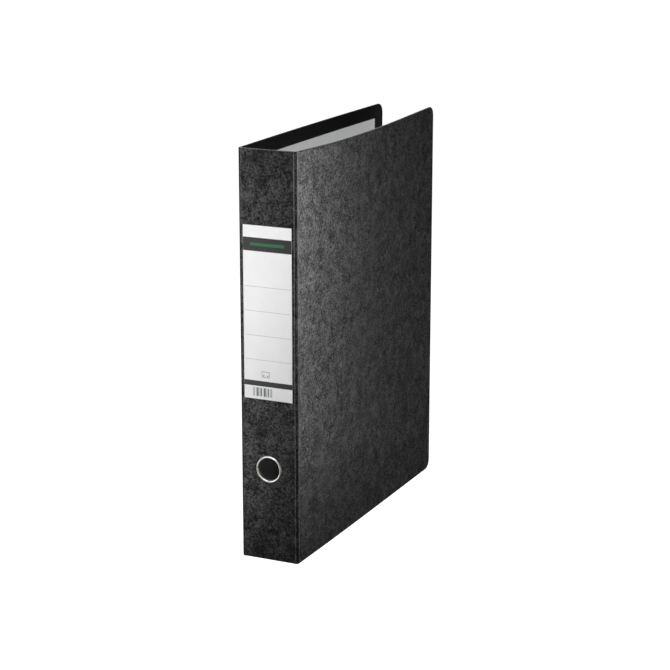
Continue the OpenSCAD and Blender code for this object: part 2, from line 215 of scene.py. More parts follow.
def marbled_paper():
    """Cloud-marbled black paper: soft grey clouds and mottles, lighter grey on creases and edges from wear
    and a painted highlight.
    """
    finish = Finish("marbled_paper", Specular_IOR_Level=0.1, Coat_Roughness=0.34, Coat_IOR=1.5)
    rest = finish.attribute("rest", "Vector")
    cloud = finish.noise(70, 3, 0.55, 0.8, rest)
    mottle = finish.noise(300, 3, 0.6, 1.3, rest)
    fleck = finish.noise(520, 3, 0.75, 0.4, rest)
    grain = finish.noise(2600, 2, 0.6, 0.0, rest)
    pattern = finish.weighted((cloud, 0.2), (mottle, 0.2), (fleck, 0.5), (grain, 0.1))
    ground, grey, pale = (0.0012, 0.0016, 0.0013), (0.0055, 0.0062, 0.0056), (0.039, 0.0405, 0.0385)
    paper = finish.ramp(pattern, [(0.4, ground), (0.5, grey), (0.59, pale)])
    # Creases and edges are mixed towards a light grey: partly real wear, partly a painted highlight.
    rubbed_and_highlight = finish.spread(finish.weighted((finish.attribute("wear_and_highlight"), 1), (fleck, 0.9)), 0.85, 1.5)
    finish.set("Base Color", finish.mix(rubbed_and_highlight, paper, (0.22, 0.216, 0.212, 1)))
    finish.set("Roughness", finish.spread(pattern, 0.4, 0.6, 0.62, 0.46))
    finish.set("Coat Weight", finish.spread(pattern, 0.43, 0.58, 0.0, 1.0))
    finish.bump(finish.weighted((grain, 0.5), (fleck, 0.35), (mottle, 0.3)), 0.06 * MM, 0.6)
    return finish.material


def black_paper():
    """The covering where it is turned in: the same stock, unprinted black, with its pulp showing."""
    finish = Finish("black_paper", Specular_IOR_Level=0.15)
    rest = finish.attribute("rest", "Vector")
    pulp = finish.noise(1500, 3, 0.6, 0.0, rest)
    cloud = finish.noise(120, 2, 0.5, 0.3, rest)
    pattern = finish.weighted((pulp, 0.6), (cloud, 0.4))
    paper = finish.ramp(pattern, [(0.35, (0.002, 0.002, 0.002)), (0.7, (0.006, 0.006, 0.0059))])
    # Near the edges the turned-in paper is mixed towards grey: partly real wear, partly a painted highlight.
    rubbed_and_highlight = finish.spread(finish.weighted((finish.attribute("wear_and_highlight"), 1), (pulp, 0.8)), 0.95, 1.6)
    finish.set("Base Color", finish.mix(rubbed_and_highlight, paper, (0.09, 0.088, 0.085, 1)))
    finish.set("Roughness", finish.spread(pulp, 0.3, 0.7, 0.5, 0.62))
    finish.bump(pulp, 0.04 * MM, 0.6)
    return finish.material


def lining_paper():
    """Light grey recycled paper: short fibres, faint clouds, matt."""
    finish = Finish("lining_paper", Specular_IOR_Level=0.3)
    fibre = finish.noise(1800, 4, 0.7, 1.2, finish.stretched(1, 1, 0.35))
    cloud = finish.noise(55, 3, 0.5)
    fleck = finish.noise(700, 2, 0.8)
    pattern = finish.weighted((fibre, 0.55), (cloud, 0.2), (fleck, 0.25))
    dark, grey, light = (0.6, 0.605, 0.61), (0.69, 0.695, 0.7), (0.75, 0.755, 0.76)
    finish.set("Base Color", finish.ramp(pattern, [(0.3, dark), (0.5, grey), (0.7, light)]))
    finish.set("Roughness", finish.spread(fibre, 0.3, 0.7, 0.68, 0.82))
    finish.bump(fibre, 0.05 * MM, 0.5)
    return finish.material


def greyboard():
    """Raw grey board, seen only where a piece is taken off."""
    finish = Finish("greyboard", Specular_IOR_Level=0.2)
    fibre = finish.noise(900, 4, 0.7, 0.8)
    fleck = finish.noise(300, 2, 0.6)
    pattern = finish.weighted((fibre, 0.6), (fleck, 0.4))
    finish.set("Base Color", finish.ramp(pattern, [(0.3, (0.2, 0.18, 0.155)), (0.7, (0.36, 0.33, 0.29))]))
    finish.set("Roughness", finish.spread(fibre, 0.3, 0.7, 0.8, 0.95))
    finish.bump(fibre, 0.15 * MM, 0.7)
    return finish.material


def label_paper():
    """Coated white sticker paper, with a faint tooth."""
    finish = Finish("label_paper", Specular_IOR_Level=0.4)
    tooth = finish.noise(2200, 2, 0.6)
    cloud = finish.noise(60, 2, 0.5)
    pattern = finish.weighted((tooth, 0.5), (cloud, 0.5))
    finish.set("Base Color", finish.ramp(pattern, [(0.3, (0.78, 0.785, 0.78)), (0.7, (0.84, 0.845, 0.84))]))
    finish.set("Roughness", finish.spread(tooth, 0.3, 0.7, 0.42, 0.5))
    finish.bump(tooth, 0.02 * MM, 0.4)
    return finish.material


def ink(name, dark, light):
    """Printed ink: nearly even, with the slight patchiness of a litho solid."""
    finish = Finish(name, Specular_IOR_Level=0.4)
    patch = finish.noise(1100, 3, 0.6)
    finish.set("Base Color", finish.ramp(patch, [(0.35, dark), (0.65, light)]))
    finish.set("Roughness", finish.spread(patch, 0.3, 0.7, 0.38, 0.46))
    finish.bump(patch, 0.01 * MM, 0.3)
    return finish.material


def nickel_steel(name, tint, smooth, rough):
    """Nickel-plated steel: faint clouding, hairline scratches and tiny pits."""
    finish = Finish(name, Metallic=1.0)
    cloud = finish.noise(90, 3, 0.6)
    scratch = finish.noise(700, 3, 0.7, 0.0, finish.stretched(1, 9, 0.6))
    pit = finish.noise(2400, 2, 0.5)
    pattern = finish.weighted((cloud, 0.5), (scratch, 0.3), (pit, 0.2))
    dull = tuple(0.78 * c for c in tint)
    finish.set("Base Color", finish.ramp(pattern, [(0.32, dull), (0.56, tint)]))
    polish = finish.weighted((cloud, 0.5), (scratch, 0.5))
    finish.set("Roughness", finish.spread(polish, 0.3, 0.7, smooth, rough))
    finish.bump(finish.weighted((scratch, 0.7), (pit, 0.3)), 0.02 * MM, 0.35)
    return finish.material


MARBLED = marbled_paper()
BLACK_PAPER = black_paper()
LINING = lining_paper()
GREYBOARD = greyboard()
LABEL = label_paper()
BLACK_INK = ink("black_ink", (0.012, 0.0125, 0.0125), (0.02, 0.0205, 0.0205))
GREEN_INK = ink("green_ink", (0.008, 0.115, 0.045), (0.012, 0.15, 0.06))
GREY_INK = ink("grey_ink", (0.36, 0.36, 0.37), (0.42, 0.42, 0.43))
NICKEL = nickel_steel("nickel_plate", (0.8, 0.785, 0.75), 0.3, 0.42)
SPRING_STEEL = nickel_steel("spring_steel", (0.5, 0.49, 0.47), 0.22, 0.34)


# Building meshes


def grid_faces(rows, columns, start=0):
    """Quads that join a block of points laid out row by row."""
    return [
        (a, a + 1, a + columns + 1, a + columns)
        for row in range(rows - 1)
        for a in range(start + row * columns, start + row * columns + columns - 1)
    ]


def strip_faces(first, second):
    """Quads that join two rows of point numbers."""
    return [(first[i], first[i + 1], second[i + 1], second[i]) for i in range(len(first) - 1)]


def shown(name, points, faces, finish_of_face, materials, attributes, sharp_deg=SHARP_DEG):
    """A mesh object with outward normals, its finishes and its point attributes."""
    mesh = bpy.data.meshes.new(name)
    mesh.from_pydata([tuple(p) for p in points], [], [tuple(int(i) for i in f) for f in faces])
    for material in materials:
        mesh.materials.append(material)
    mesh.polygons.foreach_set("material_index", np.array(finish_of_face, np.int32))
    mesh.attributes.new("rest", "FLOAT_VECTOR", "POINT").data.foreach_set(
        "vector", np.array(points, np.float32).ravel()
    )
    for key, values in attributes.items():
        layer = mesh.attributes.new(key, "FLOAT", "POINT")
        layer.data.foreach_set("value", np.array(values, np.float32))
    work = bmesh.new()
    work.from_mesh(mesh)
    bmesh.ops.recalc_face_normals(work, faces=work.faces)
    work.to_mesh(mesh)
    work.free()
    mesh.shade_smooth()
    mesh.set_sharp_from_angle(angle=math.radians(sharp_deg))
    obj = bpy.data.objects.new(name, mesh)
    bpy.context.scene.collection.objects.link(obj)
    return obj


def shell(name, outer, inner, faces, finishes, materials, wear_and_highlight=None):
    """A closed piece between two skins that share their faces. Points that coincide are joined."""
    outer = np.asarray(outer, float)
    inner = np.asarray(inner, float)
    wear_and_highlight = np.zeros(len(outer)) if wear_and_highlight is None else np.asarray(wear_and_highlight, float)
    _, kept, joined = np.unique(np.round(outer, 7), axis=0, return_index=True, return_inverse=True)
    joined = joined.ravel()
    skin, skin_finishes = [], []
    for face, finish in zip(faces, finishes):
        corners = list(dict.fromkeys(int(joined[i]) for i in face))
        if len(corners) > 2:
            skin.append(corners)
            skin_finishes.append(finish)
    count = len(kept)
    used = {}
    for face in skin:
        for a, b in zip(face, face[1:] + face[:1]):
            used[frozenset((a, b))] = used.get(frozenset((a, b)), []) + [(a, b)]
    rim = [pairs[0] for pairs in used.values() if len(pairs) == 1]
    walls = [(b, a, a + count, b + count) for a, b in rim]
    under = [[i + count for i in reversed(face)] for face in skin]
    points = np.concatenate([outer[kept], inner[kept]])
    hidden = len(materials) - 1
    every_finish = skin_finishes + [hidden] * (len(walls) + len(under))
    wear_and_highlight_amount = np.concatenate([wear_and_highlight[kept], np.zeros(count)])
    return shown(name, points, skin + walls + under, every_finish, materials, {"wear_and_highlight": wear_and_highlight_amount})


def slab(name, low, high, bevel, material):
    """A flat block with every edge rounded."""
    work = bmesh.new()
    bmesh.ops.create_cube(work, size=1)
    size, middle = Vector(high) - Vector(low), (Vector(high) + Vector(low)) / 2
    for vertex in work.verts:
        vertex.co = Vector(c * s for c, s in zip(vertex.co, size)) + middle
    bmesh.ops.bevel(work, geom=list(work.edges), offset=bevel, segments=3, profile=0.5, affect="EDGES")
    mesh = bpy.data.meshes.new(name)
    work.to_mesh(mesh)
    work.free()
    mesh.materials.append(material)
    mesh.shade_smooth()
    mesh.set_sharp_from_angle(angle=math.radians(50))
    obj = bpy.data.objects.new(name, mesh)
    bpy.context.scene.collection.objects.link(obj)
    return obj


def tube(name, path, radius, sides, material):
    """A round wire along a path, with rounded ends."""
    path = np.asarray(path, float)
    steps = np.diff(path, axis=0)
    steps /= np.linalg.norm(steps, axis=1)[:, None]
    ahead = np.vstack([steps[:1], steps[:-1] + steps[1:], steps[-1:]])
    ahead /= np.linalg.norm(ahead, axis=1)[:, None]
    across = np.cross(ahead[0], (0.3, 0.5, 0.81))
    turn = np.linspace(0, 2 * math.pi, sides, endpoint=False)
    rings = []
    for centre, direction in zip(path, ahead):
        across = across - direction * (across @ direction)
        across /= np.linalg.norm(across)
        up = np.cross(direction, across)
        ring = np.outer(np.cos(turn), across) + np.outer(np.sin(turn), up)
        rings.append((centre, direction, ring))
    blocks = [rings[0][0] - rings[0][1] * radius * 0.5 + rings[0][2] * radius * 0.5]
    blocks += [centre + ring * radius for centre, _, ring in rings]
    blocks += [rings[-1][0] + rings[-1][1] * radius * 0.5 + rings[-1][2] * radius * 0.5]
    points = np.concatenate(blocks)
    faces = []
    for i in range(len(blocks) - 1):
        for k in range(sides):
            a, b = i * sides + k, i * sides + (k + 1) % sides
            faces.append((a, b, b + sides, a + sides))
    last = (len(blocks) - 1) * sides
    faces.append(tuple(range(sides - 1, -1, -1)))
    faces.append(tuple(last + k for k in range(sides)))
    return shown(name, points, faces, [0] * len(faces), [material], {}, 60)


# The covers


class Cover:
    """Where one cover lies in the frame, and how far it bows outwards."""

    def __init__(self, side, name):
        low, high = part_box(name + "_covering")
        lining_low, lining_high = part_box(name + "_lining")
        self.side = side
        self.name = name
        self.body = name + "_cover"
        self.face_x = high.x if side == FRONT else low.x
        self.thick = high.x - low.x
        self.hinge_y = low.y
        self.fore_y = high.y
        self.top_z = high.z
        self.turn_in_z = lining_low.z
        self.turn_in_y = lining_high.y

    def bow(self, y, z):
        along = (y - self.hinge_y) / (self.fore_y - self.hinge_y)
        arch = 4 * along * (1 - along)
        if self.side == FRONT:
            sag = FRONT_SAG_FOOT + (FRONT_SAG_TOP - FRONT_SAG_FOOT) * z / self.top_z
            return sag * arch * (1 + FRONT_SAG_LEAN * (1 - 2 * along))
        rise = np.clip((z - BACK_SAG_FROM) / (self.top_z - BACK_SAG_FROM), 0, 1)
        return BACK_SAG_TOP * rise * rise * (3 - 2 * rise) * arch

    def points(self, y, z, depth):
        """Points in the frame, from places on the flat cover and their depth below its outer face."""
        y, z = np.asarray(y, float), np.asarray(z, float)
        x = self.face_x + self.side * (self.bow(y, z) - depth)
        return np.column_stack([np.broadcast_to(x, y.shape), y, z])


def column_shares(width):
    """Where a face's columns stand, from 0 at the hinge, where they are close, to 1 at the fore-edge."""
    near = np.array([0, 0.4, 0.9, 1.6, 3.0]) * MM / width
    return np.concatenate([near, np.linspace(near[-1], 1, COVER_COLUMNS)[1:]])


def cover_rows(cover, inset):
    """How far each row of a cover's outline reaches towards the fore-edge, and its height."""
    r = CORNER_R - inset
    turn = np.linspace(0, math.pi / 2, CORNER_STEPS + 1)
    corner_z = inset + r * (1 - np.cos(turn))
    corner_y = cover.fore_y - CORNER_R + r * np.sin(turn)
    between = np.linspace(CORNER_R, cover.top_z - CORNER_R, COVER_ROWS)[1:-1]
    z = np.concatenate([corner_z, between, cover.top_z - corner_z[::-1]])
    y = np.concatenate([corner_y, np.full(len(between), cover.fore_y - inset), corner_y[::-1]])
    return y, z


def face_block(cover, inset):
    """The flat places of a cover's face within an inset of its outline, row by row."""
    reach, heights = cover_rows(cover, inset)
    shares = column_shares(cover.fore_y - cover.hinge_y)
    y = cover.hinge_y + np.outer(reach - cover.hinge_y, shares)
    z = np.repeat(heights[:, None], len(shares), axis=1)
    return y, z


def around(block):
    """The values round three sides of a block: along its first row, up its last column and back."""
    return np.concatenate([block[0], block[1:-1, -1], block[-1, ::-1]])


def wrap_profile(thick, under):
    """(inset, depth, wear and painted highlight) from the outer face, round the edge, to the inner face,
    under the surface.
    """
    r = EDGE_R - under
    quarter = np.linspace(0, math.pi / 2, EDGE_STEPS + 1)
    margin = [(WRAP_FROM, under, 0.1)]
    # Round the edge the covering is lightened most where it turns over the board: partly real wear, partly a
    # painted highlight.
    over = [(EDGE_R - r * math.sin(a), EDGE_R - r * math.cos(a), 0.3 + 0.3 * math.sin(a)) for a in quarter]
    back = [(EDGE_R - r * math.cos(a), thick - EDGE_R + r * math.sin(a), 0.6 * math.cos(a)) for a in quarter]
    inside = [(WRAP_TO, thick - under, 0.0)]
    return margin + over + back + inside


def covering_skin(cover, under):
    """Points, faces, finish numbers and wear with painted highlight of one skin of the covering."""
    thick = cover.thick - LINING_OVER
    y, z = face_block(cover, FACE_INSET)
    rows, columns = y.shape
    numbers = np.arange(y.size).reshape(rows, columns)
    points = [cover.points(y.ravel(), z.ravel(), under)]
    faces = grid_faces(rows, columns)
    finishes = [0] * len(faces)
    # Along the hinge the cover's face is lightened: partly real crease wear, partly a painted highlight on
    # the crease.
    crease = np.clip(1 - (y - cover.hinge_y) / CREASE_WEAR_AND_HIGHLIGHT, 0, 1)
    wear_and_highlight = [crease.ravel()]
    before = around(numbers)
    profile = wrap_profile(thick, under)
    start = y.size
    for step, (inset, depth, wear_and_highlight_amount) in enumerate(profile):
        ring_y, ring_z = (around(block) for block in face_block(cover, inset))
        points.append(cover.points(ring_y, ring_z, depth))
        wear_and_highlight.append(np.maximum(wear_and_highlight_amount, np.clip(1 - (ring_y - cover.hinge_y) / CREASE_WEAR_AND_HIGHLIGHT, 0, 1)))
        ring = np.arange(start, start + len(ring_y))
        faces += strip_faces(before, ring)
        finishes += [0 if step <= EDGE_STEPS + 1 else 1] * (len(ring) - 1)
        before, start = ring, start + len(ring)
    inner_y, inner_z = turn_in_ring(cover, y, z)
    points.append(cover.points(inner_y, inner_z, thick - under))
    wear_and_highlight.append(np.zeros(len(inner_y)))
    ring = np.arange(start, start + len(inner_y))
    faces += strip_faces(before, ring)
    finishes += [1] * (len(ring) - 1)
    return np.concatenate(points), faces, finishes, np.concatenate(wear_and_highlight)


def turn_in_ring(cover, y, z):
    """The square inner edge of the turned-in covering, matched point for point to the rings."""
    edge_y = cover.turn_in_y - TUCKED
    edge_z = cover.turn_in_z + TUCKED
    shares = (y - cover.hinge_y) / (y[:, -1:] - cover.hinge_y)
    inner_y = cover.hinge_y + shares * (edge_y - cover.hinge_y)
    inner_z = np.clip(z, edge_z, cover.top_z - edge_z)
    return around(inner_y), around(inner_z)


def cover_covering(cover):
    outer, faces, finishes, wear_and_highlight = covering_skin(cover, 0)
    inner = covering_skin(cover, PAPER)[0]
    piece = shell(cover.name + "_paper", outer, inner, faces, finishes, [MARBLED, BLACK_PAPER], wear_and_highlight)
    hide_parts(cover.name + "_covering")
    return piece


def cover_board(cover):
    y, z = face_block(cover, CORE_INSET)
    faces = grid_faces(*y.shape)
    outer = cover.points(y.ravel(), z.ravel(), CORE_INSET)
    inner = cover.points(y.ravel(), z.ravel(), cover.thick - LINING_OVER - CORE_INSET)
    piece = shell(cover.name + "_core", outer, inner, faces, [0] * len(faces), [GREYBOARD])
    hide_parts(cover.name + "_board")
    return piece


def cover_lining(cover):
    y, z = np.meshgrid(
        np.linspace(cover.hinge_y, cover.turn_in_y, COVER_COLUMNS),
        np.linspace(cover.turn_in_z, cover.top_z - cover.turn_in_z, COVER_ROWS),
    )
    faces = grid_faces(*y.shape)
    outer = cover.points(y.ravel(), z.ravel(), cover.thick)
    inner = cover.points(y.ravel(), z.ravel(), cover.thick - LINING_OVER)
    piece = shell(cover.name + "_inside_paper", outer, inner, faces, [0] * len(faces), [LINING])
    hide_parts(cover.name + "_lining")
    return piece


# The spine


class Spine:
    """Where the spine lies in the frame, and the finger hole through it."""

    def __init__(self):
        low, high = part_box("spine_covering")
        lining_low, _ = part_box("spine_lining")
        washer_low, washer_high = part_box("grip_ring_washer")
        self.face_y = low.y
        self.thick = high.y - low.y
        self.low_x, self.high_x = low.x, high.x
        self.top_z = high.z
        self.turn_in_z = lining_low.z
        self.hole_x = (washer_low.x + washer_high.x) / 2
        self.hole_z = (washer_low.z + washer_high.z) / 2

    def columns(self):
        square = np.linspace(-HOLE_PATCH, HOLE_PATCH, 9) + self.hole_x
        edges = np.array([0, 0.5, 1.2, 2.4]) * MM
        return np.concatenate([self.low_x + edges, square, self.high_x - edges[::-1]])

    def rows(self, inset):
        square = np.linspace(-HOLE_PATCH, HOLE_PATCH, 9) + self.hole_z
        below = np.linspace(inset, square[0], 9)[:-1]
        above = np.linspace(square[-1], self.top_z - inset, 30)[1:]
        return np.concatenate([below, square, above])

    def points(self, x, z, depth):
        y = self.face_y + np.broadcast_to(depth, np.shape(x))
        return np.column_stack([x, y, z])


def holed_block(spine, inset):
    """Flat (x, z) points and quads of the spine's face, with the round finger hole in its patch."""
    xs, zs = spine.columns(), spine.rows(inset)
    points = [(x, z) for z in zs for x in xs]
    centre = np.array([spine.hole_x, spine.hole_z])

    def span(point):
        return max(abs(point[0] - centre[0]), abs(point[1] - centre[1]))

    faces = []
    for face in grid_faces(len(zs), len(xs)):
        middle = np.mean([points[i] for i in face], axis=0)
        if span(middle) > HOLE_PATCH:
            faces.append(face)
    square = [i for i, point in enumerate(points) if abs(span(point) - HOLE_PATCH) < 1e-6]
    square.sort(key=lambda i: math.atan2(points[i][1] - centre[1], points[i][0] - centre[0]))
    before = square
    for share in HOLE_RINGS:
        ring = list(range(len(points), len(points) + len(square)))
        for i in square:
            away = np.array(points[i]) - centre
            on_circle = centre + away / np.linalg.norm(away) * FINGER_HOLE_R
            points.append(tuple(np.array(points[i]) * (1 - share) + on_circle * share))
        faces += strip_faces(before + before[:1], ring + ring[:1])
        before = ring
    return np.array(points), faces


def spine_covering_skin(spine, under):
    """Points, faces, finish numbers and wear with painted highlight of one skin of the spine's covering."""
    flat, faces = holed_block(spine, FACE_INSET)
    finishes = [0] * len(faces)
    blocks = [spine.points(flat[:, 0], flat[:, 1], under)]
    crease = np.minimum(flat[:, 0] - spine.low_x, spine.high_x - flat[:, 0])
    # Along both side creases the spine is lightened: partly real wear, partly a painted highlight on the
    # crease.
    wear_and_highlight = [0.7 * np.clip(1 - crease / CREASE_WEAR_AND_HIGHLIGHT, 0, 1)]
    xs = spine.columns()
    thick = spine.thick - LINING_OVER
    ends = [(FACE_INSET, under, 0.0)] + wrap_profile(thick, under)
    ends.append((spine.turn_in_z + TUCKED, thick - under, 0.0))
    start = len(flat)
    for end in (0, 1):
        for inset, depth, wear_and_highlight_amount in ends:
            z = spine.top_z - inset if end else inset
            blocks.append(spine.points(xs, np.full(len(xs), z), depth))
            wear_and_highlight.append(np.full(len(xs), wear_and_highlight_amount))
        quads = grid_faces(len(ends), len(xs), start)
        faces += quads if end else [face[::-1] for face in quads]
        first_inside = (EDGE_STEPS + 2) * (len(xs) - 1)
        finishes += [0 if i < first_inside else 1 for i in range(len(quads))]
        start += len(ends) * len(xs)
    return np.concatenate(blocks), faces, finishes, np.concatenate(wear_and_highlight)


def spine_covering(spine):
    outer, faces, finishes, wear_and_highlight = spine_covering_skin(spine, 0)
    inner = spine_covering_skin(spine, PAPER)[0]
    piece = shell("spine_paper", outer, inner, faces, finishes, [MARBLED, BLACK_PAPER], wear_and_highlight)
    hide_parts("spine_covering")
    return piece


def spine_sheet(spine, name, node, inset, shallow, deep, material, slot):
    """A flat holed sheet of the spine, from one depth to another."""
    flat, faces = holed_block(spine, inset)
    outer = spine.points(flat[:, 0], flat[:, 1], deep)
    inner = spine.points(flat[:, 0], flat[:, 1], shallow)
    piece = shell(name, outer, inner, faces, [0] * len(faces), [material])
    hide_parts(node)
    return piece


# The hinge strips


def strip_profile(side, spine, cover):
    """(x, y) along a strip's outer surface from the spine to the cover, and the wear with painted highlight
    at each point.
    """
    edge_x = spine.high_x if side == FRONT else spine.low_x
    start = np.array([edge_x, spine.face_y])
    end = np.array([cover.face_x, cover.hinge_y])
    length = np.linalg.norm(end - start)
    ahead = (end - start) / length
    outward = np.array([ahead[1], -ahead[0]]) * side
    if outward[1] > 0:
        outward = -outward
    lap = STRIP_LAP_SPINE[side]
    grooves = (-lap + 0.5 * MM, length - 0.4 * MM)
    points, wear_and_highlight = [], []
    for s in np.linspace(-lap, length + STRIP_LAP_COVER, STRIP_STEPS):
        dip = sum(math.exp(-(((s - g) / GROOVE_WIDE) ** 2)) for g in grooves)
        # Beside each groove runs a light line: partly real wear, partly a painted highlight on the crease.
        off = [(s - g - WEAR_HIGHLIGHT_BESIDE) / WEAR_HIGHLIGHT_WIDE for g in grooves]
        lines = sum(math.exp(-(o**2)) * w for o, w in zip(off, WEAR_HIGHLIGHT_WEIGHTS))
        if s < 0:
            base, up = start + np.array([side * s, 0]), np.array([0, -1])
        elif s > length:
            base, up = end + np.array([0, s - length]), np.array([side, 0])
        else:
            base, up = start + ahead * s, outward
        bulge = STRIP_BULGE * math.sin(math.pi * min(max(s / length, 0), 1))
        points.append(base + up * (STRIP_LIFT + bulge - GROOVE_DEEP * dip))
        wear_and_highlight.append(min(lines, 1))
    return np.array(points), np.array(wear_and_highlight)


def hinge_strip(side, spine, cover):
    """The creased stretch of covering between the spine and a cover."""
    profile, wear_and_highlight_amount = strip_profile(side, spine, cover)
    tangent = np.gradient(profile, axis=0)
    inward = np.column_stack([-tangent[:, 1], tangent[:, 0]]) * side
    inward /= np.linalg.norm(inward, axis=1)[:, None]
    ends = np.array([0, 0.12, 0.4, 1.0]) * MM
    middle = np.linspace(ends[-1], spine.top_z - ends[-1], STRIP_ROWS)[1:-1]
    heights = np.concatenate([ends, middle, spine.top_z - ends[::-1]])
    close = np.minimum(heights, spine.top_z - heights)
    round_off = STRIP_END_ROUND * np.clip(1 - close / STRIP_END_DEEP, 0, 1) ** 2
    outer, inner, wear_and_highlight = [], [], []
    for z, shrink, near in zip(heights, round_off, close):
        for (x, y), (in_x, in_y), line in zip(profile, inward, wear_and_highlight_amount):
            outer.append((x + in_x * shrink, y + in_y * shrink, z))
            inner.append((x + in_x * (STRIP_T - shrink), y + in_y * (STRIP_T - shrink), z))
            # The crease lines are lighter towards the top: a painted highlight that fades towards the foot.
            # Near its top and foot the strip is lightened too.
            wear_and_highlight.append(max(line * (0.72 + 0.43 * z / spine.top_z), 0.9 - near / STRIP_END_WORN))
    faces = grid_faces(len(heights), len(profile))
    piece = shell(cover.name + "_crease", outer, inner, faces, [0] * len(faces), [MARBLED], wear_and_highlight)
    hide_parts(cover.name + "_hinge_strip")
    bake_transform(piece)


# The label, with its print placed by height above the label's foot

PROUD = 0.03 * MM  # how far the ink stands off the label
STRIPE_PROUD = 0.05 * MM  # the stripe is printed over its band
SUNK = 0.01 * MM
PRINT_MARGIN = 0.1 * MM
BAND = (161 * MM, 175.5 * MM)
STRIPE = (166.8 * MM, 169.8 * MM)
STRIPE_HALF = 20 * MM
LOWER_BAND = (14.5 * MM, 20.2 * MM)
RULES = 4
RULE_FROM = 43.2 * MM
RULE_GAP = 26.5 * MM
RULE_MARGIN = 1.5 * MM
FINE_LINE = 0.4 * MM
SIGN_LEFT = 3 * MM  # how far the sign stands to the left of the middle
SIGN_FOOT = 24.5 * MM
SIGN_HALF = 4.5 * MM
SIGN_HIGH = 6.4 * MM
SIGN_HOLE_OFF = 2.4 * MM
SIGN_HOLE_UP = 1.8 * MM
SIGN_HOLE_R = 0.7 * MM
BARS = (3.2 * MM, 12.6 * MM)
BARS_FROM = 17.8 * MM  # how far the bars start to the left of the middle
BARS_TO = 4 * MM
BAR_WIDTHS = (0.5, 1.0, 0.5, 1.5, 0.8)


def label_sheet():
    low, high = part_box("spine_label")
    high = Vector((high.x, high.y + 0.02 * MM, high.z))
    piece = slab("label_sheet", low, high, 0.07 * MM, LABEL)
    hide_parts("spine_label")
    return piece


class Print:
    """Ink shapes on the label, gathered as thin closed prisms in one mesh."""

    def __init__(self, face_y):
        self.face_y = face_y
        self.points = []
        self.faces = []
        self.finishes = []

    def prism(self, outline, finish, proud=PROUD):
        """A convex outline in (x, z), a hair proud of the label."""
        start, count = len(self.points), len(outline)
        for y in (self.face_y - proud, self.face_y + SUNK):
            self.points += [(x, y, z) for x, z in outline]
        self.faces.append([start + i for i in range(count)])
        self.faces.append([start + count + i for i in reversed(range(count))])
        for i in range(count):
            j = (i + 1) % count
            self.faces.append([start + j, start + i, start + count + i, start + count + j])
        self.finishes += [finish] * (count + 2)

    def bar(self, x0, x1, z0, z1, finish, proud=PROUD):
        self.prism([(x0, z0), (x1, z0), (x1, z1), (x0, z1)], finish, proud)

    def frame_of(self, x0, x1, z0, z1, line, finish):
        self.bar(x0, x1, z0, z0 + line, finish)
        self.bar(x0, x1, z1 - line, z1, finish)
        self.bar(x0, x0 + line, z0 + line, z1 - line, finish)
        self.bar(x1 - line, x1, z0 + line, z1 - line, finish)

    def disc(self, x, z, r, finish, sides=20):
        turns = [2 * math.pi * i / sides for i in range(sides)]
        self.prism([(x + r * math.cos(a), z + r * math.sin(a)) for a in turns], finish)


def label_print():
    """A green stripe on a black band, writing rules, a punched-sheet sign and plain bars."""
    black, green, light = 0, 1, 2
    low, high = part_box("spine_label")
    middle, foot = (low.x + high.x) / 2, low.z
    art = Print(low.y)
    left, right = low.x + PRINT_MARGIN, high.x - PRINT_MARGIN
    art.bar(left, right, foot + BAND[0], foot + BAND[1], black)
    stripe_left, stripe_right = middle - STRIPE_HALF, middle + STRIPE_HALF
    art.bar(stripe_left, stripe_right, foot + STRIPE[0], foot + STRIPE[1], green, STRIPE_PROUD)
    art.bar(left, right, foot + LOWER_BAND[0], foot + LOWER_BAND[1], black)
    for i in range(RULES):
        z = foot + RULE_FROM + RULE_GAP * i
        art.bar(low.x + RULE_MARGIN, high.x - RULE_MARGIN, z, z + FINE_LINE, light)
    x, z = middle - SIGN_LEFT, foot + SIGN_FOOT
    art.frame_of(x - SIGN_HALF, x + SIGN_HALF, z, z + SIGN_HIGH, FINE_LINE, black)
    for way in (-1, 1):
        art.disc(x + way * SIGN_HOLE_OFF, z + SIGN_HOLE_UP, SIGN_HOLE_R, black)
    x = middle - BARS_FROM
    i = 0
    while x < middle + BARS_TO:
        wide = BAR_WIDTHS[i % len(BAR_WIDTHS)] * MM
        art.bar(x, x + wide, foot + BARS[0], foot + BARS[1], light if i % 3 == 1 else black)
        x += wide + BAR_WIDTHS[(i + 2) % len(BAR_WIDTHS)] * 0.9 * MM
        i += 1
    inks = [BLACK_INK, GREEN_INK, GREY_INK]
    piece = shown("label_print", art.points, art.faces, art.finishes, inks, {}, 30)
    return piece


# The mechanism


def joint(name):
    return next(j for j in frame["joints"] if j["name"] == name)


def arch_spring():
    """The torsion spring: a leg on the base plate, four turns round the wire, a leg under its crank."""
    wire = 0.5 * MM
    coil_r = 3.4 * MM
    turns, steps = 4, 36
    axis_x, axis_y, _ = joint("arch_hinge")["pos_m"]
    low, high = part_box("arch_spring")
    start_z = high.z - wire
    pitch = 1.15 * MM
    end_z = start_z - turns * pitch

    def at(ahead, z, off):
        return (axis_x + off, axis_y + ahead, z)

    path = [at(-9 * MM, start_z, -coil_r - 1.2 * MM), at(-3 * MM, start_z, -coil_r - 0.2 * MM)]
    for i in range(turns * steps + 1):
        angle = 2 * math.pi * i / steps - math.pi / 2
        path.append(at(coil_r * math.cos(angle), start_z - pitch * i / steps, coil_r * math.sin(angle)))
    path.append(at(2.5 * MM, end_z, -coil_r - 0.1 * MM))
    path.append(at(4.6 * MM, end_z - 0.3 * MM, -3.9 * MM))
    path.append(at(5.6 * MM, end_z - 1.5 * MM, -4.1 * MM))
    path.append(at(6.0 * MM, low.z + wire, -4.3 * MM))
    piece = tube("torsion_spring", path, wire, 14, SPRING_STEEL)
    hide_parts("arch_spring")
    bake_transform(piece)


